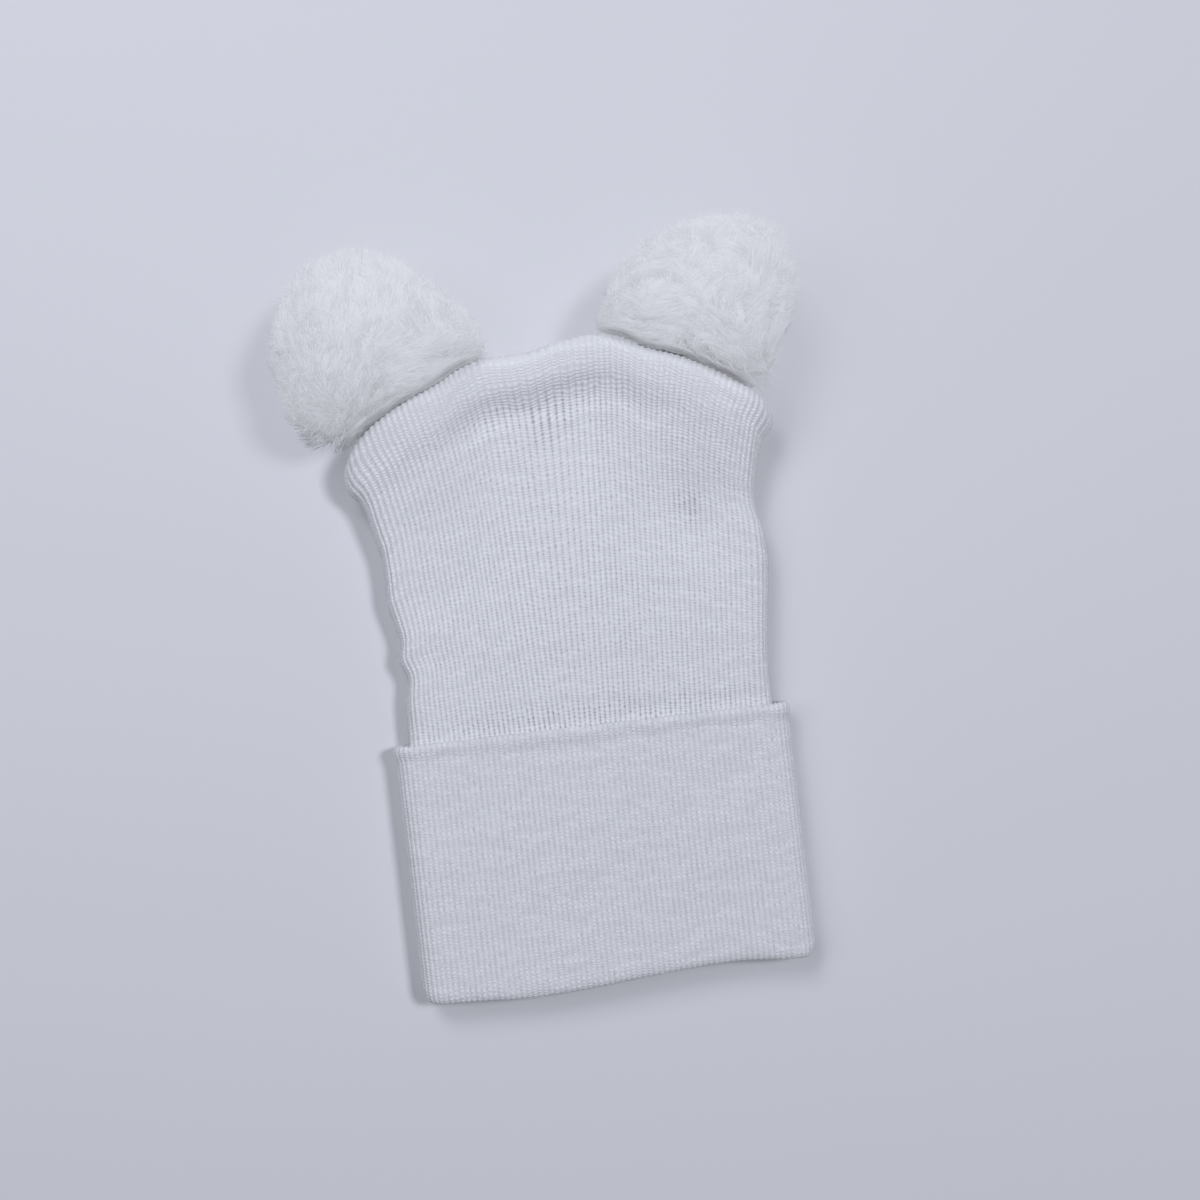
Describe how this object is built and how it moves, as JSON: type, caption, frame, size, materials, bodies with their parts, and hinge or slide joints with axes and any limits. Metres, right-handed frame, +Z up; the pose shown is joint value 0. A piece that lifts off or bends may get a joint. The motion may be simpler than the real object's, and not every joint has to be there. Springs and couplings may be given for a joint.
{
  "type": "baby hat",
  "caption": "Knitted baby hat lying flat: a ribbed tube closed along the top, a turned-up cuff at the face opening and a pompom ear at each upper corner.",
  "frame": {"origin": "on the table, under the middle of the hat's bounding box as it lies on its back", "axes": "+Y from the face opening to the top of the crown, +Z up from the table, -X towards ear_left"},
  "size_m": [0.157, 0.2306, 0.0494],
  "materials": {
    "knit": "white fine rib knit",
    "cuff_knit": "white fine rib knit, turned up and doubled",
    "pompom": "white cut yarn, soft and shaggy"
  },
  "bodies": {
    "root": {"crown": "knit", "cuff": "cuff_knit", "ear_left": "pompom", "ear_right": "pompom"}
  },
  "joints": []
}
